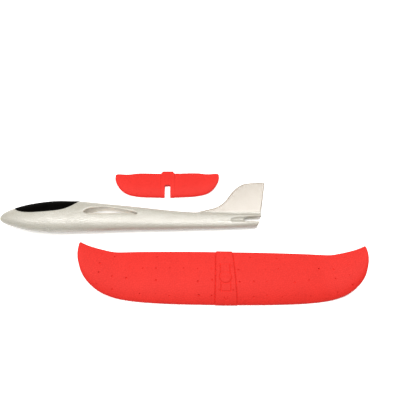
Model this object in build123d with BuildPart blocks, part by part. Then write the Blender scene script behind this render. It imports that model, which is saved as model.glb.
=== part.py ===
from build123d import *
import os
from math import copysign, cos, pi, radians, sin, sqrt

os.makedirs("parts", exist_ok=True)

# A foam hand-launch glider, laid out flat in its three mouldings: the wing in front, the fuselage
# on its right side behind it, the tailplane behind the fuselage.
# Millimetres and degrees. X runs along the wing, Y away from the viewer, Z up from the floor.

# ---------------------------------------------------------------- layout on the floor
layout_length = 625.2
layout_depth = 247.5
wing_yaw = -0.45
wing_trailing_edge_y = -35.4
tailplane_yaw = 1.4
tailplane_x = -32.6
tailplane_trailing_edge_y = layout_depth / 2 - 5.8
fuselage_yaw = 0.8
fuselage_pitch = 1.0
nose_y = 17.0
nose_height = 16.05

# The two flat pieces are drawn this much low, then cut off level at the floor.
underside_trim = 0.05

# ---------------------------------------------------------------- wing
wing_span = 484.6
wing_chord = 87.3
wing_thickness = 10.0
wing_tip_rise = 20.0
wing_flat_half = 165.0
wing_rise_power = 1.3
wing_nose_lift = 2.4
wing_edge_thickness = 1.4
wing_band_width_front = 35.0
wing_band_width_rear = 28.0
wing_band_proud = 0.6
wing_band_overhang = 1.3

# Span station, leading edge ahead of and trailing edge behind the root's trailing-edge line.
wing_stations = [
    (0, wing_chord, 0.0),
    (60, 86.8, 0.0),
    (110, 85.4, -0.7),
    (150, 82.5, -1.6),
    (172, 79.2, -2.7),
    (187, 75.2, -3.3),
    (201.3, 69.2, -1.5),
    (215.5, 59.4, 1.1),
    (227, 47.6, 3.9),
    (235.2, 33.6, 6.8),
    (wing_span / 2, 14.0, 9.8),
]

# ---------------------------------------------------------------- tailplane
tailplane_span = 196.0
tailplane_chord = 51.2
tailplane_thickness = 6.0
tailplane_nose_lift = 1.8
tailplane_edge_thickness = 1.2
tailplane_flat_half = 56.0
tailplane_tip_rise = 5.0
tailplane_rise_power = 1.5
tailplane_band_width = 26.0
tailplane_band_proud = 0.5
tailplane_tab_width = 22.0
tailplane_tab_rear = 5.4
notch_width = 10.0
notch_depth = 24.3

tailplane_stations = [
    (0, tailplane_chord, 1.0),
    (20, 50.9, 1.1),
    (40, 50.2, 1.6),
    (52, 49.3, 1.7),
    (61, 47.9, 1.1),
    (70, 45.7, -0.7),
    (79, 41.6, -1.7),
    (87, 34.7, -1.8),
    (92, 28.2, -1.9),
    (96, 20.4, -2.9),
    (tailplane_span / 2, 13.6, -5.2),
]

# Both raised centre bands stop this far above the underside.
band_floor = 0.3

# ---------------------------------------------------------------- fuselage
fuselage_length = 452.4

# Station behind the nose, top and bottom lines about the datum line, half width, squareness:
# 2 is an oval, more is a rounder-cornered box.
fuselage_stations = [
    (3, 7.6, -5.8, 4.6, 2.0),
    (10, 13.0, -9.6, 7.6, 2.0),
    (22, 18.6, -13.8, 10.2, 2.0),
    (40, 24.8, -18.8, 12.3, 2.05),
    (62, 29.4, -22.4, 13.5, 2.1),
    (90, 32.6, -24.0, 14.0, 2.15),
    (125, 32.6, -23.6, 13.5, 2.2),
    (160, 29.4, -22.8, 12.4, 2.25),
    (200, 25.4, -21.5, 11.2, 2.35),
    (250, 20.0, -20.3, 10.0, 2.5),
    (300, 14.6, -19.4, 9.1, 2.7),
    (350, 11.4, -18.3, 8.4, 2.9),
    (400, 9.3, -16.8, 7.8, 3.1),
    (fuselage_length + 1, 8.6, -15.6, 7.4, 3.2),
]
nose_point = (0, -0.5)

# The canopy's lower edge, from its front tip past the cheek to its top rear corner.
canopy_skin = 0.6
canopy_top = 60.0
canopy_edge = [
    (20.5, 18.5),
    (28.0, 11.6),
    (37.0, 8.2),
    (64.0, 7.0),
    (88.5, 9.2),
    (104.0, 12.2),
    (115.6, 17.6),
    (131.2, 34.0),
]

# The fin's front line sweeps up out of the boom; its rear line leans back.
fin_thickness = 6.0
fin_edge_radius = 1.8
fin_corner_radius = 3.0
fin_root = 4.0
fin_tip = (465.6, 74.4)
fin_heel = (452.0, 12.0)
fin_toe = (451.4, fin_root)
fin_front_line = [
    (326.0, 11.4),
    (353.0, 17.4),
    (375.0, 24.6),
    (388.5, 36.0),
    (402.0, 53.6),
    (419.0, 67.9),
    (438.0, 72.8),
]

# The wing slot is the section of the wing's centre band with a clearance all round.
wing_slot_front = 140.8
wing_slot_bottom = 5.8
wing_slot_clearance = 0.7

# The tail slot opens to the rear; the web ahead of it fills the tailplane's notch.
tail_slot_front = 420.5
tail_slot_bottom = -5.7
tail_slot_height_front = 7.7
tail_slot_height_rear = 9.7
seat_front = 396.0
seat_clearance = 0.6
web_thickness = 9.0

# The boom's end line below the slot: chamfered, then set back ahead of the slot's mouth.
boom_chamfer_start = (440.6, -15.9)
boom_set_back = 447.6
boom_step = -1.0
boom_rake_start = (450.6, boom_step)

plug_station = 84.0
plug_diameter = 13.0
plug_depth = 5.0
belly_at_plug = -24.0
slug_diameter = 10.0
slug_length = 13.0
slug_chamfer = 0.6
slug_clearance = 0.05

# Cuts across the fuselage start and end this far outside it.
past_body = 40.0


# ---------------------------------------------------------------- shared shapes
def thickness_share(x):
    """Share of the largest thickness at x, where x is 0 at the nose and 1 at the trailing edge."""
    return 10 * (0.2969 * sqrt(x) - 0.126 * x - 0.3516 * x**2 + 0.2843 * x**3 - 0.1036 * x**4)


def flat_bottomed_section(plane, lead, trail, thickness, nose_lift, edge_thickness):
    """Flat-bottomed aerofoil on plane, from x = -lead to x = trail, standing on y = 0."""
    chord = lead + trail
    nose_share = 0.16
    top_spans = 8

    def underside(x):
        return nose_lift * (1 - sqrt(x / nose_share)) ** 2 if x < nose_share else 0

    def top(x):
        return underside(x) + thickness * thickness_share(x) + edge_thickness * x

    shares = [(1 + cos(pi * i / top_spans)) / 2 for i in range(top_spans + 1)]
    upper = [(chord * x - lead, top(x)) for x in shares]
    nose = [(chord * x - lead, underside(x)) for x in (0, 0.02, 0.06, 0.11, nose_share)]
    with BuildSketch(plane) as section:
        with BuildLine():
            Spline(*upper, tangents=[(-1, 0.12), (0, -1)], tangent_scalars=[1, 0.5])
            Spline(*nose, tangents=[(0, -1), (1, 0)], tangent_scalars=[0.5, 1])
            Line(nose[-1], (trail, 0))
            Line((trail, 0), (trail, edge_thickness))
        make_face()
    return section.sketch


def section_plane(frame, span, height):
    """Plane across a wing or tailplane at a span station: x runs aft, y up."""
    return Plane(origin=frame.from_local_coords((span, 0, height)), x_dir=frame.y_dir, z_dir=frame.x_dir)


def both_halves(stations):
    """Every station from the left tip to the right tip."""
    return [(-span, lead, trail) for span, lead, trail in reversed(stations[1:])] + stations


def frame_on_floor(x, y, yaw):
    """A flat piece's own frame: x along its span, y aft, z up."""
    turn = radians(yaw)
    return Plane(origin=(x, y, -underside_trim), x_dir=(cos(turn), sin(turn), 0), z_dir=(0, 0, 1))


def tip_rise(span, flat_half, half_span, rise, power):
    """Height of the underside off the floor at a span station: flat, then bent up to the tip."""
    bent = max(0, abs(span) - flat_half) / (half_span - flat_half)
    return rise * bent**power


# ---------------------------------------------------------------- wing
wing_frame = frame_on_floor(layout_length / 2 - wing_span / 2, wing_trailing_edge_y, wing_yaw)


wing_sections = []
for span, lead, trail in both_halves(wing_stations):
    share = (lead + trail) / wing_chord
    rise = tip_rise(span, wing_flat_half, wing_span / 2, wing_tip_rise, wing_rise_power)
    wing_sections.append(
        flat_bottomed_section(
            section_plane(wing_frame, span, rise),
            lead,
            trail,
            wing_thickness * share,
            wing_nose_lift * share,
            wing_edge_thickness,
        )
    )

wing_band_section = flat_bottomed_section(
    section_plane(wing_frame, 0, band_floor),
    wing_chord + wing_band_proud,
    wing_band_overhang,
    wing_thickness + wing_band_proud - band_floor,
    wing_nose_lift,
    wing_edge_thickness + wing_band_proud - band_floor,
)

with BuildPart() as wing_band:
    extrude(wing_band_section, amount=wing_band_width_front / 2, both=True)
    with BuildSketch(wing_frame):
        with BuildLine():
            Polyline(
                (-wing_band_width_front / 2, -wing_chord - wing_band_proud),
                (wing_band_width_front / 2, -wing_chord - wing_band_proud),
                (wing_band_width_rear / 2, wing_band_overhang),
                (-wing_band_width_rear / 2, wing_band_overhang),
                close=True,
            )
        make_face()
    extrude(amount=2 * wing_thickness, mode=Mode.INTERSECT)

with BuildPart() as wing:
    loft(wing_sections)
    add(wing_band.part)
    split(bisect_by=Plane.XY, keep=Keep.TOP)

wing.part.label = "wing"
export_step(wing.part, "parts/wing.step")

# ---------------------------------------------------------------- tailplane
tailplane_frame = frame_on_floor(tailplane_x, tailplane_trailing_edge_y, tailplane_yaw)

tailplane_sections = []
for span, lead, trail in both_halves(tailplane_stations):
    share = (lead + trail) / tailplane_chord
    rise = tip_rise(
        span, tailplane_flat_half, tailplane_span / 2, tailplane_tip_rise, tailplane_rise_power
    )
    tailplane_sections.append(
        flat_bottomed_section(
            section_plane(tailplane_frame, span, rise),
            lead,
            trail,
            tailplane_thickness * share,
            tailplane_nose_lift * share,
            tailplane_edge_thickness,
        )
    )

tailplane_band_section = flat_bottomed_section(
    section_plane(tailplane_frame, 0, band_floor),
    tailplane_chord + tailplane_band_proud,
    tailplane_tab_rear,
    tailplane_thickness + tailplane_band_proud - band_floor,
    tailplane_nose_lift,
    tailplane_edge_thickness + tailplane_band_proud,
)

# The band runs from the nose to the trailing edge, and a narrower tab goes on behind it.
band_length = tailplane_chord + 2
with BuildPart() as tailplane_band:
    extrude(tailplane_band_section, amount=tailplane_band_width / 2, both=True)
    with BuildSketch(tailplane_frame):
        with Locations((0, 1)):
            Rectangle(tailplane_band_width, band_length, align=(Align.CENTER, Align.MAX))
        Rectangle(tailplane_tab_width, 2 * tailplane_tab_rear)
    extrude(amount=2 * tailplane_thickness, mode=Mode.INTERSECT)

with BuildPart() as tailplane:
    loft(tailplane_sections)
    add(tailplane_band.part)
    with BuildSketch(tailplane_frame):
        with Locations((0, notch_depth - tailplane_chord)):
            Rectangle(notch_width, 2 * notch_depth, align=(Align.CENTER, Align.MAX))
    extrude(amount=2 * tailplane_thickness, both=True, mode=Mode.SUBTRACT)
    split(bisect_by=Plane.XY, keep=Keep.TOP)

tailplane.part.label = "tailplane"
export_step(tailplane.part, "parts/tailplane.step")

# ---------------------------------------------------------------- fuselage
# The fuselage lies on its right side. In its frame x runs aft along the datum line, y to the
# glider's top and z to its left side, which is up.
yaw = radians(fuselage_yaw)
pitch = radians(fuselage_pitch)
fuselage_frame = Plane(
    origin=(-layout_length / 2, nose_y, nose_height),
    x_dir=(cos(pitch) * cos(yaw), cos(pitch) * sin(yaw), -sin(pitch)),
    z_dir=(sin(pitch) * cos(yaw), sin(pitch) * sin(yaw), cos(pitch)),
)


def side_plane(station, height):
    """Plane along the fuselage's middle with its origin at a station and height: x aft, y up."""
    origin = fuselage_frame.from_local_coords((station, height, 0))
    return Plane(origin=origin, x_dir=fuselage_frame.x_dir, z_dir=fuselage_frame.z_dir)


def squared_oval(plane, half_width, half_height, squareness):
    """Closed superellipse on plane, an oval at squareness 2 and boxier above it."""
    corners = 16

    def along(share):
        return copysign(abs(share) ** (2 / squareness), share)

    points = []
    for i in range(corners):
        angle = 2 * pi * i / corners
        points.append((half_width * along(cos(angle)), half_height * along(sin(angle))))
    with BuildSketch(plane) as oval:
        with BuildLine():
            Spline(*points, periodic=True)
        make_face()
    return oval.sketch


def body_sections(inset):
    """The nose point and the body's sections, drawn in by inset."""
    nose = Vertex(*fuselage_frame.from_local_coords((nose_point[0] + inset, nose_point[1], 0)))
    ovals = []
    for station, top, bottom, half_width, squareness in fuselage_stations:
        middle = fuselage_frame.from_local_coords((station + inset, (top + bottom) / 2, 0))
        across = Plane(origin=middle, x_dir=-fuselage_frame.z_dir, z_dir=fuselage_frame.x_dir)
        ovals.append(squared_oval(across, half_width - inset, (top - bottom) / 2 - inset, squareness))
    return [nose, *ovals]


with BuildPart() as body_skin:
    loft(body_sections(0))

with BuildPart() as body_core:
    loft(body_sections(canopy_skin))

# Canopy: a skin let flush into the top of the nose.
with BuildPart() as canopy:
    add(body_skin.part)
    add(body_core.part, mode=Mode.SUBTRACT)
    with BuildSketch(fuselage_frame):
        with BuildLine():
            Spline(*canopy_edge)
            Polyline(
                canopy_edge[-1],
                (canopy_edge[-1][0], canopy_top),
                (canopy_edge[0][0], canopy_top),
                canopy_edge[0],
            )
        make_face()
    extrude(amount=past_body, both=True, mode=Mode.INTERSECT)

canopy.part.label = "canopy"
export_step(canopy.part, "parts/canopy.step")

# Ballast: a metal slug in a bore up from the belly, closed by a foam plug.
plug_foot = belly_at_plug - plug_depth
plug_plane = Plane(
    origin=fuselage_frame.from_local_coords((plug_station, plug_foot, 0)),
    x_dir=fuselage_frame.x_dir,
    z_dir=fuselage_frame.y_dir,
)
plug_top = 2 * plug_depth

with BuildPart() as ballast_plug:
    add(body_skin.part)
    with BuildSketch(plug_plane):
        Circle(plug_diameter / 2)
    extrude(amount=plug_top, mode=Mode.INTERSECT)

ballast_plug.part.label = "ballast_plug"
export_step(ballast_plug.part, "parts/ballast_plug.step")

with BuildPart() as nose_ballast:
    with BuildSketch(plug_plane.offset(plug_top)):
        Circle(slug_diameter / 2)
    extrude(amount=slug_length)
    chamfer(nose_ballast.edges().filter_by(GeomType.CIRCLE), slug_chamfer)

nose_ballast.part.label = "nose_ballast"
export_step(nose_ballast.part, "parts/nose_ballast.step")

# Fin: a flat plate with rounded edges that runs down into the boom.
with BuildPart() as fin:
    with BuildSketch(fuselage_frame):
        with BuildLine():
            Spline(*fin_front_line, tangents=[(1, 0.14), (1, 0.1)])
            Polyline(
                fin_front_line[-1],
                fin_tip,
                fin_heel,
                fin_toe,
                (fin_front_line[0][0], fin_root),
                fin_front_line[0],
            )
        make_face()
    extrude(amount=fin_thickness / 2, both=True)
    tip_edge = fin.edges().filter_by(Axis((0, 0, 0), fuselage_frame.z_dir)).sort_by(Axis.Y)[-1]
    fillet(tip_edge, fin_corner_radius)
    rims = []
    for edge in fin.edges():
        middle = fuselage_frame.to_local_coords(edge.center())
        if abs(middle.Z) > 0.99 * fin_thickness / 2 and middle.Y > fin_front_line[1][1]:
            rims.append(edge)
    fillet(rims, fin_edge_radius)

# Cutters for the wing's slot and the tailplane's seats, both aerofoil sections.
wing_slot_section = flat_bottomed_section(
    side_plane(wing_slot_front + wing_chord, wing_slot_bottom),
    wing_chord,
    wing_band_proud + wing_band_overhang + 2 * wing_slot_clearance,
    wing_thickness + wing_band_proud + 2 * wing_slot_clearance,
    wing_nose_lift + wing_slot_clearance,
    wing_edge_thickness + wing_band_proud + wing_slot_clearance,
)

seat_section = flat_bottomed_section(
    side_plane(seat_front + tailplane_chord, tail_slot_bottom),
    tailplane_chord,
    0,
    tailplane_thickness + tailplane_band_proud + seat_clearance,
    tailplane_nose_lift + seat_clearance,
    tailplane_edge_thickness,
)

with BuildPart() as seats:
    extrude(seat_section, amount=past_body, both=True)
    extrude(seat_section, amount=web_thickness / 2, both=True, mode=Mode.SUBTRACT)

# Foam moulding with the fin, less the canopy's seat, the slots, the tailplane's seats and the bore.
with BuildPart() as fuselage:
    add(body_skin.part)
    add(fin.part)
    add(canopy.part, mode=Mode.SUBTRACT)
    extrude(wing_slot_section, amount=past_body, both=True, mode=Mode.SUBTRACT)
    add(seats.part, mode=Mode.SUBTRACT)
    with BuildSketch(fuselage_frame):
        Polygon(
            (tail_slot_front, tail_slot_bottom),
            (fuselage_length + past_body, tail_slot_bottom),
            (fuselage_length + past_body, tail_slot_bottom + tail_slot_height_rear),
            (fuselage_length, tail_slot_bottom + tail_slot_height_rear),
            (tail_slot_front, tail_slot_bottom + tail_slot_height_front),
            align=None,
        )
        Polygon(
            (boom_chamfer_start[0], -past_body),
            boom_chamfer_start,
            (boom_set_back, tail_slot_bottom),
            (boom_set_back, boom_step),
            boom_rake_start,
            fin_toe,
            fin_heel,
            (fuselage_length + past_body, fin_heel[1]),
            (fuselage_length + past_body, -past_body),
            align=None,
        )
    extrude(amount=past_body, both=True, mode=Mode.SUBTRACT)
    add(ballast_plug.part, mode=Mode.SUBTRACT)
    with BuildSketch(plug_plane.offset(plug_top)):
        Circle(slug_diameter / 2 + slug_clearance)
    extrude(amount=slug_length + slug_clearance, mode=Mode.SUBTRACT)

fuselage.part.label = "fuselage"
export_step(fuselage.part, "parts/fuselage.step")
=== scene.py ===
import math

import bmesh
import bpy
import numpy as np
from mathutils import Matrix, Vector, noise


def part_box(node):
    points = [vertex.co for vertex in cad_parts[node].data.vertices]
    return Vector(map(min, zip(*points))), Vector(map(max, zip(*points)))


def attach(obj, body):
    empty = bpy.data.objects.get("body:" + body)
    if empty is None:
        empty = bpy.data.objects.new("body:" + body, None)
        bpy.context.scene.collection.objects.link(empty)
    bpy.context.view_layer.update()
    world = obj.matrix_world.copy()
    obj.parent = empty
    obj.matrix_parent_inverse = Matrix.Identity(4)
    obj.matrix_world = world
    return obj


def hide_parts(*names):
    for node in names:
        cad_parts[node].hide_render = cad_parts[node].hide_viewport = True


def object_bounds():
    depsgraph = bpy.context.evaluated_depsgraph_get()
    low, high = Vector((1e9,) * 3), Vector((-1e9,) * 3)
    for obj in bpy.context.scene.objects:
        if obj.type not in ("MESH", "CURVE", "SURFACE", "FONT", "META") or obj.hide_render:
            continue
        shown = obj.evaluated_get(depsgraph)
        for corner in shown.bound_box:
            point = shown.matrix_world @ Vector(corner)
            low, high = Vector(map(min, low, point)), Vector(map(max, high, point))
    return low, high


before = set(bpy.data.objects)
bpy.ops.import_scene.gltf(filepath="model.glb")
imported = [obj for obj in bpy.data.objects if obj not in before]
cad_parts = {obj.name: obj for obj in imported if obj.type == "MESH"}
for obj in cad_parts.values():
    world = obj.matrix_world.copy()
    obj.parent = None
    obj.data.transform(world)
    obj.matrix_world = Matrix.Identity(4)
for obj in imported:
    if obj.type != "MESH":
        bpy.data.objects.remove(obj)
cad_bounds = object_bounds()
centre = (cad_bounds[0] + cad_bounds[1]) / 2

MM = 0.001


# ---------------------------------------------------------------- camera
# Seen from above the front of the set, 25 degrees off straight down.
CAMERA_HEIGHT = 513 * MM
CAMERA_BACK = 174.5 * MM
CAMERA_ASIDE = 5.9 * MM
VIEW_RIGHT = Vector((0.99907, -0.00556, 0.04265))
VIEW_UP = Vector((-0.01292, 0.90707, 0.42078))
FIELD_OF_VIEW = math.radians(66.74)


def make_camera():
    data = bpy.data.cameras.new("camera")
    data.sensor_width = 36
    data.angle = FIELD_OF_VIEW
    camera = bpy.data.objects.new("camera", data)
    bpy.context.scene.collection.objects.link(camera)
    right = VIEW_RIGHT.normalized()
    back = right.cross(VIEW_UP).normalized()
    up = back.cross(right)
    turn = Matrix((right, up, back)).transposed().to_4x4()
    place = Vector((centre.x + CAMERA_ASIDE, centre.y - CAMERA_BACK, CAMERA_HEIGHT))
    camera.matrix_world = Matrix.Translation(place) @ turn
    bpy.context.scene.camera = camera


# ---------------------------------------------------------------- materials
def node(tree, kind, **sockets):
    """A new node with its inputs set by name."""
    made = tree.nodes.new(kind)
    for name, value in sockets.items():
        made.inputs[name.replace("_", " ")].default_value = value
    return made


def ramp(tree, source, low, high, first, last):
    """A colour ramp from first at low to last at high."""
    made = tree.nodes.new("ShaderNodeValToRGB")
    made.color_ramp.elements[0].position = low
    made.color_ramp.elements[1].position = high
    made.color_ramp.elements[0].color = (*first, 1)
    made.color_ramp.elements[1].color = (*last, 1)
    tree.links.new(source, made.inputs["Fac"])
    return made.outputs["Color"]


def new_material(name):
    material = bpy.data.materials.new(name)
    material.use_nodes = True
    tree = material.node_tree
    shader = tree.nodes["Principled BSDF"]
    where = tree.nodes.new("ShaderNodeTexCoord").outputs["Object"]
    return material, tree, shader, where


def mixed(tree, factor, first, last, blend="MIX"):
    """One colour over another. Each is a socket or a plain colour, and factor a socket or a number."""
    made = tree.nodes.new("ShaderNodeMix")
    made.data_type = "RGBA"
    made.blend_type = blend
    for name, source in (("Factor", factor), ("A", first), ("B", last)):
        if isinstance(source, bpy.types.NodeSocket):
            tree.links.new(source, made.inputs[name])
        elif isinstance(source, tuple):
            made.inputs[name].default_value = (*source, 1)
        else:
            made.inputs[name].default_value = source
    return made.outputs["Result"]


# The foam's beads, the grain on them and the light inside. Texture scales are per metre.
BEAD = 3.1 * MM
BEAD_RANDOMNESS = 0.9
BEAD_WOBBLE = 1.6 * MM
WOBBLE_SCALE = 140.0
SEAM_SHARE = 0.13
SEAM_DEPTH = 0.3 * MM
MOTTLE_SCALE = 38.0
PORE_SCALE = 1900.0
PORE_DEPTH = 0.25 * MM
PORE_RELIEF_SHARE = 0.6
TONE_SHARE = 0.16
MOTTLE_SHARE = 0.22
GLOW_DEPTH = 8 * MM
GLOW_TINT = (1.0, 0.85, 0.7)
UNSHADED = (1, 1, 1)

# A mesh attribute that is 1 on the walls of slots, and the painted light put there: a pale colour that
# lightens the walls. It was chosen because the walls came out darker than the real ones look.
PAINTED_LIGHT_ATTRIBUTE = "slot_painted_light"
SLOT_PAINTED_LIGHT = (0.7, 0.66, 0.59)

# A mesh attribute that is 1 where the foam is a thin plate, as the fin is, with the painted shade that
# darkens it there and the share of the beads' relief that it keeps. Both were chosen because the real
# fin looks smoother and a little darker than the body; the darkening is painted shade, not the foam's
# colour.
THIN = "thin"
THIN_PAINTED_SHADE = (0.8, 0.725, 0.68)
THIN_RELIEF = 0.35


def attribute(tree, name):
    """A mesh attribute's value, which is 0 on a mesh without it."""
    made = tree.nodes.new("ShaderNodeAttribute")
    made.attribute_name = name
    return made.outputs["Fac"]


def foam_material(name, skin, seam, shade, roughness, gloss, relief, glow):
    """Moulded bead foam: pressed polygonal beads with fine seams, pin pores and a faint mottle."""
    material, tree, shader, where = new_material(name)
    link = tree.links.new
    wobble = node(tree, "ShaderNodeTexNoise", Scale=WOBBLE_SCALE, Detail=2.0)
    link(where, wobble.inputs["Vector"])
    bend = tree.nodes.new("ShaderNodeVectorMath")
    bend.operation = "MULTIPLY_ADD"
    bend.inputs[1].default_value = (BEAD_WOBBLE, BEAD_WOBBLE, BEAD_WOBBLE)
    link(wobble.outputs["Color"], bend.inputs[0])
    link(where, bend.inputs[2])

    beads = node(tree, "ShaderNodeTexVoronoi", Scale=1 / BEAD, Randomness=BEAD_RANDOMNESS)
    beads.feature = "DISTANCE_TO_EDGE"
    link(bend.outputs[0], beads.inputs["Vector"])
    seams = node(tree, "ShaderNodeMapRange", From_Min=0.0, From_Max=SEAM_SHARE)
    link(beads.outputs["Distance"], seams.inputs["Value"])
    tones = node(tree, "ShaderNodeTexVoronoi", Scale=1 / BEAD, Randomness=BEAD_RANDOMNESS)
    link(bend.outputs[0], tones.inputs["Vector"])
    mottle = node(tree, "ShaderNodeTexNoise", Scale=MOTTLE_SCALE, Detail=4.0, Roughness=0.6)
    link(where, mottle.inputs["Vector"])
    pores = node(tree, "ShaderNodeTexNoise", Scale=PORE_SCALE, Detail=2.0, Roughness=0.7)
    link(where, pores.inputs["Vector"])

    slot_painted_light = attribute(tree, PAINTED_LIGHT_ATTRIBUTE)
    thin = attribute(tree, THIN)
    tone = ramp(tree, tones.outputs["Color"], 0.1, 0.9, shade, UNSHADED)
    cloud = ramp(tree, mottle.outputs["Fac"], 0.35, 0.65, shade, UNSHADED)
    colour = mixed(tree, seams.outputs["Result"], seam, skin)
    colour = mixed(tree, TONE_SHARE, colour, tone, "MULTIPLY")
    colour = mixed(tree, MOTTLE_SHARE, colour, cloud, "MULTIPLY")
    # Painted shade: the thin fin is darkened by a multiplied colour.
    colour = mixed(tree, thin, colour, THIN_PAINTED_SHADE, "MULTIPLY")
    # Painted light: the slots' walls are lightened towards a pale colour, standing in for light that the
    # translucent foam lets through.
    colour = mixed(tree, slot_painted_light, colour, SLOT_PAINTED_LIGHT)
    link(colour, shader.inputs["Base Color"])

    rough = node(tree, "ShaderNodeMapRange", To_Min=roughness - 0.1, To_Max=roughness + 0.12)
    link(pores.outputs["Fac"], rough.inputs["Value"])
    link(rough.outputs["Result"], shader.inputs["Roughness"])

    pored = node(tree, "ShaderNodeBump", Strength=relief * PORE_RELIEF_SHARE, Distance=PORE_DEPTH)
    link(pores.outputs["Fac"], pored.inputs["Height"])
    pressed = node(tree, "ShaderNodeBump", Distance=SEAM_DEPTH)
    flatter = node(tree, "ShaderNodeMapRange", To_Min=relief, To_Max=relief * THIN_RELIEF)
    link(thin, flatter.inputs["Value"])
    link(flatter.outputs["Result"], pressed.inputs["Strength"])
    link(seams.outputs["Result"], pressed.inputs["Height"])
    link(pored.outputs["Normal"], pressed.inputs["Normal"])
    link(pressed.outputs["Normal"], shader.inputs["Normal"])
    shader.inputs["Specular IOR Level"].default_value = gloss
    shader.inputs["Subsurface Weight"].default_value = glow
    shader.inputs["Subsurface Radius"].default_value = GLOW_TINT
    shader.inputs["Subsurface Scale"].default_value = GLOW_DEPTH
    return material


def skin_material():
    """Satin black canopy skin with a fine grain, a trace of dust and the foam's beads under it."""
    material, tree, shader, where = new_material("canopy_skin")
    link = tree.links.new
    beads = node(tree, "ShaderNodeTexVoronoi", Scale=1 / BEAD, Randomness=BEAD_RANDOMNESS)
    beads.feature = "SMOOTH_F1"
    link(where, beads.inputs["Vector"])
    grain = node(tree, "ShaderNodeTexNoise", Scale=900.0, Detail=3.0)
    link(where, grain.inputs["Vector"])
    dust = node(tree, "ShaderNodeTexNoise", Scale=60.0, Detail=5.0, Roughness=0.7)
    link(where, dust.inputs["Vector"])
    link(ramp(tree, dust.outputs["Fac"], 0.4, 0.75, (0.001, 0.0008, 0.0006), (0.0025, 0.002, 0.0016)),
         shader.inputs["Base Color"])
    rough = node(tree, "ShaderNodeMapRange", To_Min=0.4, To_Max=0.58)
    link(grain.outputs["Fac"], rough.inputs["Value"])
    link(rough.outputs["Result"], shader.inputs["Roughness"])
    fine = node(tree, "ShaderNodeBump", Strength=0.12, Distance=0.0001)
    link(grain.outputs["Fac"], fine.inputs["Height"])
    soft = node(tree, "ShaderNodeBump", Strength=0.1, Distance=0.0003)
    link(beads.outputs["Distance"], soft.inputs["Height"])
    link(fine.outputs["Normal"], soft.inputs["Normal"])
    link(soft.outputs["Normal"], shader.inputs["Normal"])
    shader.inputs["Specular IOR Level"].default_value = 0.02
    return material


def steel_material():
    """Bare steel with a fine grain."""
    material, tree, shader, where = new_material("ballast_steel")
    link = tree.links.new
    grain = node(tree, "ShaderNodeTexNoise", Scale=700.0, Detail=3.0)
    link(where, grain.inputs["Vector"])
    link(ramp(tree, grain.outputs["Fac"], 0.3, 0.7, (0.34, 0.34, 0.35), (0.6, 0.6, 0.61)),
         shader.inputs["Base Color"])
    rough = node(tree, "ShaderNodeMapRange", To_Min=0.25, To_Max=0.5)
    link(grain.outputs["Fac"], rough.inputs["Value"])
    link(rough.outputs["Result"], shader.inputs["Roughness"])
    shader.inputs["Metallic"].default_value = 1.0
    return material


# The floor glows a little, as a light table does, so that shadows on it stay pale.
FLOOR_GLOW = 0.4


def floor_material():
    """Plain pale floor with a faint even grain."""
    material, tree, shader, where = new_material("pale_floor")
    grain = node(tree, "ShaderNodeTexNoise", Scale=30.0, Detail=3.0)
    tree.links.new(where, grain.inputs["Vector"])
    tree.links.new(ramp(tree, grain.outputs["Fac"], 0.3, 0.7, (0.88, 0.88, 0.88), (0.9, 0.9, 0.9)),
                   shader.inputs["Base Color"])
    shader.inputs["Roughness"].default_value = 0.8
    shader.inputs["Specular IOR Level"].default_value = 0.1
    shader.inputs["Emission Color"].default_value = (1.0, 0.99, 0.97, 1)
    shader.inputs["Emission Strength"].default_value = FLOOR_GLOW
    return material


# ---------------------------------------------------------------- mesh helpers
def piece_from(name, vertices, faces, material, smooth=True):
    mesh = bpy.data.meshes.new(name)
    mesh.from_pydata(vertices, [], faces)
    mesh.update()
    mesh.materials.append(material)
    if smooth:
        mesh.shade_smooth()
    piece = bpy.data.objects.new(name, mesh)
    bpy.context.scene.collection.objects.link(piece)
    return piece


def coordinates(mesh):
    flat = np.empty(3 * len(mesh.vertices))
    mesh.vertices.foreach_get("co", flat)
    return flat.reshape(-1, 3)


def vertex_normals(mesh):
    flat = np.empty(3 * len(mesh.vertices))
    mesh.vertex_normals.foreach_get("vector", flat)
    return flat.reshape(-1, 3)


def move_along_normals(mesh, heights):
    """Moves every vertex along its normal by its own height."""
    moved = coordinates(mesh) + vertex_normals(mesh) * np.asarray(heights)[:, None]
    mesh.vertices.foreach_set("co", moved.ravel())
    mesh.update()


def bead_heights(points, bead, relief):
    """Relief of pressed beads: low on the seams, high in the middle of each bead."""
    heights = np.empty(len(points))
    for i, point in enumerate(points):
        near = noise.voronoi(Vector(point) / bead)[0]
        heights[i] = min(near[1] - near[0], 0.5)
    return (heights - 0.5) * relief


def bump(distance, width):
    """1 at distance 0, falling smoothly to 0 at width."""
    t = np.clip(np.abs(distance) / width, 0, 1)
    return 1 - t * t * (3 - 2 * t)


def smoothstep(value, low, high):
    """0 below low, 1 above high, smooth between."""
    t = np.clip((value - low) / (high - low), 0, 1)
    return t * t * (3 - 2 * t)


def hash_unit(a, b):
    """A repeatable value in 0..1 for a pair of whole numbers."""
    return noise.cell(Vector((a * 1.7 + 0.31, b * 2.3 + 0.17, 4.5)))


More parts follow.
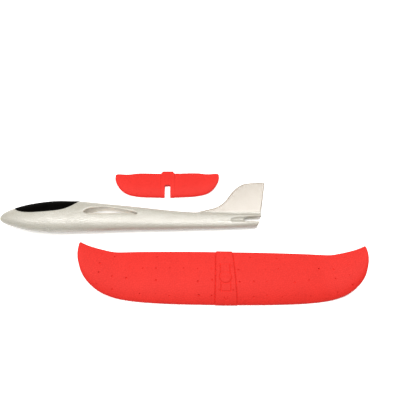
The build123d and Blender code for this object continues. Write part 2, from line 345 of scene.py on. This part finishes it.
def natural_spline(xs, ys):
    """A smooth curve through points, returned as a function of arrays."""
    xs = np.asarray(xs, float)
    ys = np.asarray(ys, float)
    gaps = np.diff(xs)
    count = len(xs)
    system = np.eye(count)
    right = np.zeros(count)
    for i in range(1, count - 1):
        system[i, i - 1:i + 2] = gaps[i - 1], 2 * (gaps[i - 1] + gaps[i]), gaps[i]
        right[i] = 6 * ((ys[i + 1] - ys[i]) / gaps[i] - (ys[i] - ys[i - 1]) / gaps[i - 1])
    bends = np.linalg.solve(system, right)

    def curve(at):
        i = np.clip(np.searchsorted(xs, at) - 1, 0, count - 2)
        h = gaps[i]
        a = (xs[i + 1] - at) / h
        b = (at - xs[i]) / h
        return (a * ys[i] + b * ys[i + 1]
                + ((a**3 - a) * bends[i] + (b**3 - b) * bends[i + 1]) * h * h / 6)

    return curve


def turned(yaw, origin):
    """Matrix of a frame on the floor, turned by yaw degrees."""
    return Matrix.Translation(origin) @ Matrix.Rotation(math.radians(yaw), 4, "Z")


# ---------------------------------------------------------------- wing
# The wing's own frame: u along the span from the middle, v aft from the root's trailing edge, in mm.
WING_YAW = -0.45
WING_HALF = 242.3
WING_CHORD = 87.3
WING_THICKNESS = 10.0
WING_NOSE_LIFT = 2.4
WING_EDGE = 1.4
WING_FLAT_HALF = 165.0
WING_RISE_POWER = 1.3
WING_KNEE = 5.0
WING_TIP_RISE = 20.0
WING_TIP_ROUND = 2.6
WING_BEAD = 2.8 * MM
WING_BEAD_RELIEF = 0.1 * MM
BAND_PROUD = 0.6
BAND_OVERHANG = 1.3
BAND_HALF_REAR = 14.0
BAND_HALF_FRONT = 17.5
BAND_COLUMN = 15.75

# How far each edge of the centre band's step is blended, to either side of BAND_COLUMN.
BAND_BLEND = 0.25
# Columns from here outwards don't follow the centre band's taper.
TAPER_END = 34
# At its rounded end the wing keeps the first share of its chord and gives up the second, and its
# thickness share, squared, stops at the third.
TIP_KEPT = 0.55
TIP_GIVEN = 0.45
TIP_THINNEST = 0.004
# The trailing edge's upper corner is lowered by this much, out to this distance from the edge.
REAR_EASE_DEPTH = 0.5
REAR_EASE_REACH = 1.1
# The top's details fade in over this share of the chord behind the nose.
DETAIL_FADE = 0.03
# The forward share of the chord where the underside curves up to the nose.
NOSE_SHARE = 0.16

# The mesh: rows round the section, and spans where the columns' spacing changes.
TOP_ROWS = 112
BOTTOM_ROWS = 34
FINE_SPAN = 21
FINE_STEP = 0.45
TIP_SPAN = 205
MIDDLE_COLUMNS = 140
TIP_COLUMNS = 34

# Span station, leading edge ahead of and trailing edge behind the root's trailing-edge line.
WING_STATIONS = [
    (0, 87.3, 0.0), (60, 86.8, 0.0), (110, 85.4, -0.7), (150, 82.5, -1.6), (172, 79.2, -2.7),
    (187, 75.2, -3.3), (201.3, 69.2, -1.5), (215.5, 59.4, 1.1), (227, 47.6, 3.9), (235.2, 33.6, 6.8),
    (242.3, 14.0, 9.8),
]


def thickness_share(x):
    """Share of a section's largest thickness at x, 0 at the nose and 1 at the trailing edge."""
    return 10 * (0.2969 * np.sqrt(x) - 0.126 * x - 0.3516 * x**2 + 0.2843 * x**3 - 0.1036 * x**4)


def underside_share(x):
    """Share of the nose's lift at x."""
    return np.where(x < NOSE_SHARE, (1 - np.sqrt(np.minimum(x, NOSE_SHARE) / NOSE_SHARE)) ** 2, 0)


def contour_shares(top_rows, bottom_rows):
    """Chord shares round a section, from the trailing edge over the top and back underneath, and a
    flag that is 1 on the top. Rows crowd together towards the nose."""
    over = (1 - np.linspace(0, 1, top_rows)) ** 1.7
    under = np.linspace(0, 1, bottom_rows)[1:] ** 1.8
    on_top = np.concatenate([np.ones(top_rows), np.zeros(bottom_rows - 1)])
    return np.concatenate([over, under]), on_top


def section_heights(x, on_top, thickness, nose_lift, edge):
    """Height of a flat-bottomed section's skin above its base."""
    base = nose_lift * underside_share(x)
    return base + on_top * (thickness * thickness_share(x) + edge * x)


def wing_columns():
    """Stations along the span, close together at the centre band and the tips."""
    band = np.arange(0, FINE_SPAN, FINE_STEP)
    middle = np.linspace(FINE_SPAN, TIP_SPAN, MIDDLE_COLUMNS)[1:]
    tip = TIP_SPAN + (WING_HALF - TIP_SPAN) * np.sin(np.linspace(0, math.pi / 2, TIP_COLUMNS))[1:]
    half = np.concatenate([band, middle, tip])
    return np.concatenate([-half[:0:-1], half])


def outside_rectangle(u, v, half_width, rear, front):
    """Distance outside a rectangle in the wing's frame, below 0 inside."""
    return np.maximum(np.abs(u) - half_width, np.maximum(v - rear, front - v))


# Moulded details on the wing's top, in mm in the wing's frame.
BAND_GROOVE_DEPTH = 1.6
BAND_GROOVE_HALF = 1.1
BAND_GROOVE_OUT = 0.9
FINE_GROOVE_HALF = 0.9
PAD_HALF_WIDTH = 7.9
PAD_REAR = -20.4
PAD_FRONT = -67.0
PAD_GROOVE_DEPTH = 1.5
DISC_V = -44.2
DISC_RADIUS = 10.2
DISC_GROOVE_SHARE = 0.8
DISC_PROUD = 0.7
PINS = [(0, -11.4), (-11.4, -26), (11.2, -26), (-11.4, -64), (11.4, -64)]
PIN_PROUD = 0.9
PIN_TOP_RADIUS = 0.5
PIN_FOOT_RADIUS = 2.2
RING_V = -77.0
RING_RADIUS = 2.8
RING_DEPTH = 1.0
LINE_AHEAD = 18
LINE_TAPER = 0.012
LINE_HALF = 0.7
LINE_PROUD = 0.25


def wing_relief(u, v, c):
    """Height of the moulded details on the wing's top, in mm. c is the column, which runs along the
    centre band's edges at BAND_COLUMN."""
    across = np.abs(c)
    height = BAND_PROUD * (1 - smoothstep(across, BAND_COLUMN - BAND_BLEND, BAND_COLUMN + BAND_BLEND))
    height -= BAND_GROOVE_DEPTH * bump(across - BAND_COLUMN - BAND_GROOVE_OUT, BAND_GROOVE_HALF)

    # The pad in the middle of the band: a groove round a rectangle, a whole round groove across
    # it, and a raised front half to the disc.
    box = outside_rectangle(u, v, PAD_HALF_WIDTH, PAD_REAR, PAD_FRONT)
    disc = np.hypot(u, v - DISC_V) - DISC_RADIUS
    box_groove = bump(box, FINE_GROOVE_HALF) * smoothstep(disc, -0.5, 0.5)
    height -= PAD_GROOVE_DEPTH * np.maximum(box_groove, DISC_GROOVE_SHARE * bump(disc, FINE_GROOVE_HALF))
    height += DISC_PROUD * (1 - smoothstep(disc, -2.4, -0.6)) * (1 - smoothstep(v, -46, -41))
    for pin_u, pin_v in PINS:
        from_pin = np.hypot(u - pin_u, v - pin_v)
        height += PIN_PROUD * (1 - smoothstep(from_pin, PIN_TOP_RADIUS, PIN_FOOT_RADIUS))
    ring = np.abs(np.hypot(u, v - RING_V) - RING_RADIUS)
    height -= RING_DEPTH * bump(ring, FINE_GROOVE_HALF) * (1 - smoothstep(v, -76.5, -74.5))

    # A faint raised line along each panel, ahead of the trailing edge.
    line = bump(v + LINE_AHEAD + LINE_TAPER * across, LINE_HALF)
    line = line * smoothstep(across, 33, 35) * (1 - smoothstep(across, 136, 139))
    return height + LINE_PROUD * line


# Steam vents: the first column's place and the columns' spacing along each half, in mm, and each
# row's share of the chord ahead of the trailing edge.
VENT_FIRST = 23
VENT_STEP = 23.0
VENT_COLUMNS = 9
VENT_ROWS = (0.13, 0.355, 0.59, 0.865)


def wing_vents():
    """Places of the moulding's steam vents on the wing: (u, chord share ahead of the trailing edge,
    radius, depth)."""
    vents = []
    for side in (-1, 1):
        for column in range(VENT_COLUMNS):
            for row, share in enumerate(VENT_ROWS):
                seed = 17 * column + 5 * row + 3 * side
                u = side * (VENT_FIRST + VENT_STEP * column + 1.6 * (hash_unit(seed, 1) - 0.5))
                ahead = share + 0.02 * (hash_unit(seed, 2) - 0.5)
                radius = 0.95 + 0.4 * hash_unit(seed, 3)
                depth = 1.3 + 1.4 * hash_unit(seed, 4)
                vents.append((u, ahead, radius, depth))
    return vents


def grid_faces(columns, rows):
    """Quads between neighbouring rows and columns, closed round the section."""
    faces = []
    for i in range(columns - 1):
        for j in range(rows):
            k = (j + 1) % rows
            faces.append((i * rows + j, i * rows + k, (i + 1) * rows + k, (i + 1) * rows + j))
    return faces


def wing_edges():
    """The wing's leading and trailing edges as smooth curves of the distance from its middle."""
    spans, leads, trails = zip(*WING_STATIONS)
    return natural_spline(spans, leads), natural_spline(spans, trails)


def make_wing(material):
    low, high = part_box("wing")
    tip_trail = WING_STATIONS[-1][2]
    rear = high.y / MM - tip_trail - WING_HALF * math.sin(-math.radians(WING_YAW))
    place = turned(WING_YAW, ((low.x + high.x) / 2, rear * MM, 0))
    lead_at, trail_at = wing_edges()

    columns = wing_columns()
    shares, on_top = contour_shares(TOP_ROWS, BOTTOM_ROWS)
    # c is the column and x the share of the chord behind the nose.
    c, x = np.meshgrid(columns, shares, indexing="ij")
    top = np.broadcast_to(on_top, c.shape)
    across = np.abs(c)

    # Chord, thickness and rise at each column, with the outer end rounded off.
    close = np.clip((across - (WING_HALF - WING_TIP_ROUND)) / WING_TIP_ROUND, 0, 1)
    rounding = np.sqrt(np.clip(1 - close**2, TIP_THINNEST, 1))
    lead = lead_at(across)
    trail = trail_at(across)
    middle = (trail - lead) / 2
    kept = TIP_KEPT + TIP_GIVEN * rounding
    round_lead = -(middle + (-lead - middle) * kept)
    round_trail = middle + (trail - middle) * kept
    share = (lead + trail) / WING_CHORD
    on_band = 1 - smoothstep(across, BAND_COLUMN - BAND_BLEND, BAND_COLUMN + BAND_BLEND)
    reach_front = round_lead + BAND_PROUD * on_band
    reach_rear = round_trail + BAND_OVERHANG * on_band
    v = x * (reach_front + reach_rear) - reach_front
    spread = (BAND_HALF_REAR + (BAND_HALF_FRONT - BAND_HALF_REAR) * -v / WING_CHORD) / BAND_COLUMN
    u = c * (1 + (spread - 1) * (1 - smoothstep(across, BAND_COLUMN + 1, TAPER_END)))
    past_knee = WING_KNEE * np.logaddexp(0, (across - WING_FLAT_HALF) / WING_KNEE)
    rise = WING_TIP_RISE * (past_knee / (WING_HALF - WING_FLAT_HALF)) ** WING_RISE_POWER
    thickness = WING_THICKNESS * share
    nose_lift = WING_NOSE_LIFT * share
    z = section_heights(x, top, thickness, nose_lift, WING_EDGE)
    half = 0.5 * section_heights(x, np.ones_like(x), thickness, nose_lift, WING_EDGE)
    z = half + (z - half) * rounding + rise

    # The trailing edge's upper corner is eased, and the details stand on the top only, nowhere
    # deeper than half the wing's thickness.
    from_rear = (1 - x) * (reach_front + reach_rear)
    z -= REAR_EASE_DEPTH * top * (1 - smoothstep(from_rear, 0, REAR_EASE_REACH)) * (1 - on_band)
    ease = smoothstep(x, 0.0, DETAIL_FADE) * top
    z += ease * np.maximum(wing_relief(u, v, c), -half)
    z += BAND_PROUD * 0.5 * on_band * (1 - ease) * top

    points = np.stack([u, v, z], axis=-1).reshape(-1, 3) * MM
    rows = len(shares)
    faces = grid_faces(len(columns), rows)
    faces.append(tuple(range(rows)))
    faces.append(tuple(reversed(range((len(columns) - 1) * rows, len(columns) * rows))))
    piece = piece_from("wing_foam", points, faces, material)
    refine_vents(piece, wing_vents(), lead_at, trail_at)
    add_bead_relief(piece.data, WING_BEAD, WING_BEAD_RELIEF)
    piece.data.transform(place)
    return piece


# A vent is never deeper than this share of the wing's thickness there.
VENT_SHARE = 0.45
# The mesh is divided within this distance of a vent.
VENT_REACH = 2.6 * MM
# Shares of a vent's radius: its floor is flat out to the first and its rim is at the second.
VENT_FLOOR = 0.55
VENT_RIM = 1.25
# A normal with at least this much z counts as facing up.
FACES_UP = 0.3


def refine_vents(piece, vents, lead_at, trail_at):
    """Divides the top skin round each vent finely and sinks the vent into it."""
    places = []
    for u, ahead, radius, depth in vents:
        lead = float(lead_at(np.array([abs(u)]))[0])
        trail = float(trail_at(np.array([abs(u)]))[0])
        x = 1 - ahead
        here = WING_THICKNESS * (lead + trail) / WING_CHORD * thickness_share(x) + WING_EDGE * x
        sunk = min(depth, VENT_SHARE * here)
        places.append((u * MM, (trail - ahead * (lead + trail)) * MM, radius * MM, sunk * MM))
    sink_vents(piece.data, places)


def sink_vents(mesh, places):
    """Sinks round vents into the upward side of a mesh at (x, y, radius, depth)."""
    work = bmesh.new()
    work.from_mesh(mesh)
    centres = np.array([[x, y] for x, y, radius, depth in places])
    near = []
    for face in work.faces:
        if face.normal.z < FACES_UP or len(face.verts) > 4:
            continue
        middle = face.calc_center_median()
        gap = np.hypot(*(centres - (middle.x, middle.y)).T).min()
        if gap < VENT_REACH:
            near.append(face)
    edges = list({edge for face in near for edge in face.edges})
    bmesh.ops.subdivide_edges(work, edges=edges, cuts=2, use_grid_fill=True)
    work.normal_update()
    for vertex in work.verts:
        if vertex.normal.z < FACES_UP:
            continue
        gaps = np.hypot(*(centres - (vertex.co.x, vertex.co.y)).T)
        i = int(gaps.argmin())
        radius, depth = places[i][2:]
        if gaps[i] < VENT_RIM * radius:
            outward = float(smoothstep(gaps[i], VENT_FLOOR * radius, VENT_RIM * radius))
            vertex.co.z -= depth * (1 - outward)
    work.to_mesh(mesh)
    work.free()
    mesh.update()


def add_bead_relief(mesh, bead, relief):
    """Presses the foam's bead pattern into a whole mesh."""
    move_along_normals(mesh, bead_heights(coordinates(mesh), bead, relief))


# ---------------------------------------------------------------- remeshed mouldings
def remeshed_copy(node_name, name, voxel, smoothing, material):
    """A dense even mesh of a CAD node, its edges softened as foam edges are."""
    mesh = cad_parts[node_name].data.copy()
    mesh.name = name
    piece = bpy.data.objects.new(name, mesh)
    bpy.context.scene.collection.objects.link(piece)
    remesh = piece.modifiers.new("remesh", "REMESH")
    remesh.mode = "VOXEL"
    remesh.voxel_size = voxel
    soften = piece.modifiers.new("soften", "SMOOTH")
    soften.factor = 0.5
    soften.iterations = smoothing
    evaluated = piece.evaluated_get(bpy.context.evaluated_depsgraph_get())
    dense = bpy.data.meshes.new_from_object(evaluated)
    piece.modifiers.clear()
    piece.data = dense
    dense.name = name
    bpy.data.meshes.remove(mesh)
    dense.materials.clear()
    dense.materials.append(material)
    dense.shade_smooth()
    return piece


def ease_edges(mesh, weights, passes):
    """Rounds a mesh off where the weights are above 0."""
    points = coordinates(mesh)
    pairs = np.empty(2 * len(mesh.edges), int)
    mesh.edges.foreach_get("vertices", pairs)
    pairs = pairs.reshape(-1, 2)
    pairs = pairs[(weights[pairs] > 0).any(axis=1)]
    first, second = pairs.T
    touched = np.bincount(pairs.ravel(), minlength=len(points))
    share = 0.5 * weights / np.maximum(touched, 1)
    for _ in range(passes):
        pull = np.zeros_like(points)
        for axis in range(3):
            gap = points[second, axis] - points[first, axis]
            pull[:, axis] = np.bincount(first, gap, len(points)) - np.bincount(second, gap, len(points))
        points += pull * share[:, None]
    mesh.vertices.foreach_set("co", points.ravel())
    mesh.update()


# The fuselage's own frame: stations aft of the nose, heights towards its top, in mm.
FUSELAGE_YAW = 0.8
FUSELAGE_VOXEL = 0.87 * MM
FUSELAGE_BEAD = 2.4 * MM
FUSELAGE_BEAD_RELIEF = 0.15 * MM
REMESH_SMOOTHING = 3

# Slots through the fuselage: first and last station, heights of the lower and upper walls, level
# of the rim above the floor, how far the lower and upper walls swell into the slot below the rim,
# passes of rounding on the rim, and how much painted light the walls get.
SLOTS = [
    dict(front=140.0, rear=231.0, lower=5.8, upper=18.0, rim=27.0,
         lower_swell=2.4, upper_swell=0.0, passes=18, pale=1.0),
    dict(front=419.0, rear=460.0, lower=-5.7, upper=3.2, rim=16.5,
         lower_swell=1.5, upper_swell=1.2, passes=4, pale=0.3),
]
SWELL_HALF = 2.4

# The tailplane's seats: first and last station, and the passes of rounding on their edges.
SEAT_FRONT = 394.0
SEAT_REAR = 424.0
SEAT_PASSES = 60

# The fin: where the foam starts to be a thin plate and where it is one, along and up the boom.
FIN_STATIONS = (300, 330)
FIN_HEIGHTS = (11.5, 16)


def between(value, low, high, blend):
    """1 between low and high, falling smoothly to 0 outside."""
    rising = smoothstep(value, low - blend, low + blend)
    return rising * (1 - smoothstep(value, high - blend, high + blend))


def shape_slot(mesh, slot, station, height, level, upward):
    """Rounds a slot's rim and swells the walls below it. Returns how much painted light each vertex
    gets.
    """
    front, rear, rim = slot["front"], slot["rear"], slot["rim"]
    lower, upper = slot["lower"], slot["upper"]
    around = between(station, front, rear, 5) * smoothstep(level, rim - 8, rim - 5)
    ease_edges(mesh, around * between(height, lower - 3, upper + 3, 3), slot["passes"])

    inside = between(station, front + 6, rear - 6, 5) * between(level, 3, rim - 4.5, 1.5)
    push = slot["lower_swell"] * bump(height - lower, SWELL_HALF)
    push = push - slot["upper_swell"] * bump(height - upper, SWELL_HALF)
    moved = coordinates(mesh) + (push * inside * MM)[:, None] * upward
    mesh.vertices.foreach_set("co", moved.ravel())

    # Painted light goes on the far wall and on the near wall below the rim.
    facing = vertex_normals(mesh) @ upward
    far_wall = smoothstep(-facing, 0.1, 0.5) * between(height, lower + 2, upper + 1, 1)
    near_wall = smoothstep(facing, 0.4, 0.8) * bump(height - lower, 3.5)
    near_wall = near_wall * (1 - smoothstep(level, rim - 2, rim))
    return slot["pale"] * between(station, front, rear, 2) * np.maximum(far_wall, near_wall)


def make_fuselage(material):
    piece = remeshed_copy("fuselage", "fuselage_foam", FUSELAGE_VOXEL, REMESH_SMOOTHING, material)
    mesh = piece.data
    points = coordinates(mesh)
    nose = points[points[:, 0].argmin()]
    turn = math.radians(FUSELAGE_YAW)
    aft = np.array((math.cos(turn), math.sin(turn), 0))
    upward = np.array((-math.sin(turn), math.cos(turn), 0))
    station = (points - nose) @ aft / MM
    height = (points - nose) @ upward / MM
    level = points[:, 2] / MM

    # How much painted light each vertex gets on the slots' walls.
    slot_painted_light = np.zeros(len(points))
    for slot in SLOTS:
        slot_painted_light = np.maximum(slot_painted_light, shape_slot(mesh, slot, station, height, level, upward))
    seat = between(station, SEAT_FRONT, SEAT_REAR, 3) * bump(height + 1.5, 9) * smoothstep(level, 9, 11)
    ease_edges(mesh, seat, SEAT_PASSES)
    thin = smoothstep(station, *FIN_STATIONS) * smoothstep(height, *FIN_HEIGHTS)
    for name, values in ((PAINTED_LIGHT_ATTRIBUTE, slot_painted_light), (THIN, thin)):
        mesh.attributes.new(name, "FLOAT", "POINT").data.foreach_set("value", values)
    beads = bead_heights(coordinates(mesh), FUSELAGE_BEAD, FUSELAGE_BEAD_RELIEF)
    move_along_normals(mesh, beads * (1 - (1 - THIN_RELIEF) * thin))
    return piece


TAILPLANE_YAW = 1.4
TAILPLANE_VOXEL = 0.55 * MM
TAILPLANE_BEAD_RELIEF = 0.07 * MM

# The tailplane's vents in its own frame, in mm: the first column and the spacing along each half,
# the rows, and how far a row draws forward with the distance from the middle.
TAIL_VENT_FIRST = 30
TAIL_VENT_STEP = 26
TAIL_VENT_COLUMNS = 3
TAIL_VENT_ROWS = (-14.0, 6.0, 21.0)
TAIL_VENT_SWEEP = 0.12
TAIL_VENT_RADIUS = 0.8


def make_tailplane(material):
    piece = remeshed_copy("tailplane", "tailplane_foam", TAILPLANE_VOXEL, REMESH_SMOOTHING, material)
    low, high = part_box("tailplane")
    middle = Vector(((low.x + high.x) / 2, (low.y + high.y) / 2, 0))
    turn = turned(TAILPLANE_YAW, middle)
    vents = []
    for side in (-1, 1):
        for column in range(TAIL_VENT_COLUMNS):
            for row, y in enumerate(TAIL_VENT_ROWS):
                seed = 11 * column + 7 * row + 2 * side
                u = side * (TAIL_VENT_FIRST + TAIL_VENT_STEP * column)
                spot = turn @ Vector((u * MM, (y - TAIL_VENT_SWEEP * abs(u)) * MM, 0))
                depth = (0.4 + 0.4 * hash_unit(seed, 5)) * MM
                vents.append((spot.x, spot.y, TAIL_VENT_RADIUS * MM, depth))
    sink_vents(piece.data, vents)
    add_bead_relief(piece.data, BEAD, TAILPLANE_BEAD_RELIEF)
    return piece


# ---------------------------------------------------------------- stage
FLOOR_HALF = 6.0
# The floor lies this far under the set, so that the two don't share a plane.
FLOOR_GAP = 0.0002
SOFTBOX_PLACE = (-0.15, 0.3, 2.0)
SOFTBOX_SIZE = (3.4, 0.55)
SOFTBOX_WATTS = 86
SOFTBOX_COLOUR = (1.0, 0.985, 0.965)
SKY_STRENGTH = 0.08


def make_floor():
    half = FLOOR_HALF
    corners = [(-half, -half, 0), (half, -half, 0), (half, half, 0), (-half, half, 0)]
    floor = piece_from("floor", corners, [(0, 1, 2, 3)], floor_material(), smooth=False)
    floor.location = (centre.x, centre.y, -FLOOR_GAP)


def area_light(name, place, target, size, watts, colour):
    data = bpy.data.lights.new(name, "AREA")
    data.shape = "RECTANGLE"
    data.size, data.size_y = size
    data.energy = watts
    data.color = colour
    light = bpy.data.objects.new(name, data)
    light.location = place
    light.rotation_euler = (Vector(target) - Vector(place)).to_track_quat("-Z", "Y").to_euler()
    bpy.context.scene.collection.objects.link(light)


def make_lights():
    world = bpy.data.worlds.new("studio")
    world.use_nodes = True
    sky = world.node_tree.nodes["Background"]
    sky.inputs["Color"].default_value = (1.0, 1.0, 1.0, 1)
    sky.inputs["Strength"].default_value = SKY_STRENGTH
    bpy.context.scene.world = world
    area_light("softbox", SOFTBOX_PLACE, centre, SOFTBOX_SIZE, SOFTBOX_WATTS, SOFTBOX_COLOUR)
    bpy.context.scene.view_settings.view_transform = "Standard"


# ---------------------------------------------------------------- the set
make_camera()
make_floor()
make_lights()

white_foam = foam_material("white_foam", skin=(0.43, 0.416, 0.366), seam=(0.385, 0.37, 0.32),
                           shade=(0.92, 0.9, 0.87), roughness=0.28, gloss=1.0, relief=0.5, glow=0.25)
red_foam = foam_material("red_foam", skin=(0.66, 0.025, 0.018), seam=(0.58, 0.02, 0.014),
                         shade=(0.85, 0.75, 0.75), roughness=0.6, gloss=0.16, relief=0.4, glow=0.0)

wing = make_wing(red_foam)
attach(wing, "wing")
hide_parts("wing")

tailplane = make_tailplane(red_foam)
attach(tailplane, "tailplane")
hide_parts("tailplane")

fuselage = make_fuselage(white_foam)
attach(fuselage, "body")
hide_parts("fuselage")

for node_name, finish in (("canopy", skin_material()), ("nose_ballast", steel_material()),
                          ("ballast_plug", white_foam)):
    for material_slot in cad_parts[node_name].material_slots:
        material_slot.material = finish
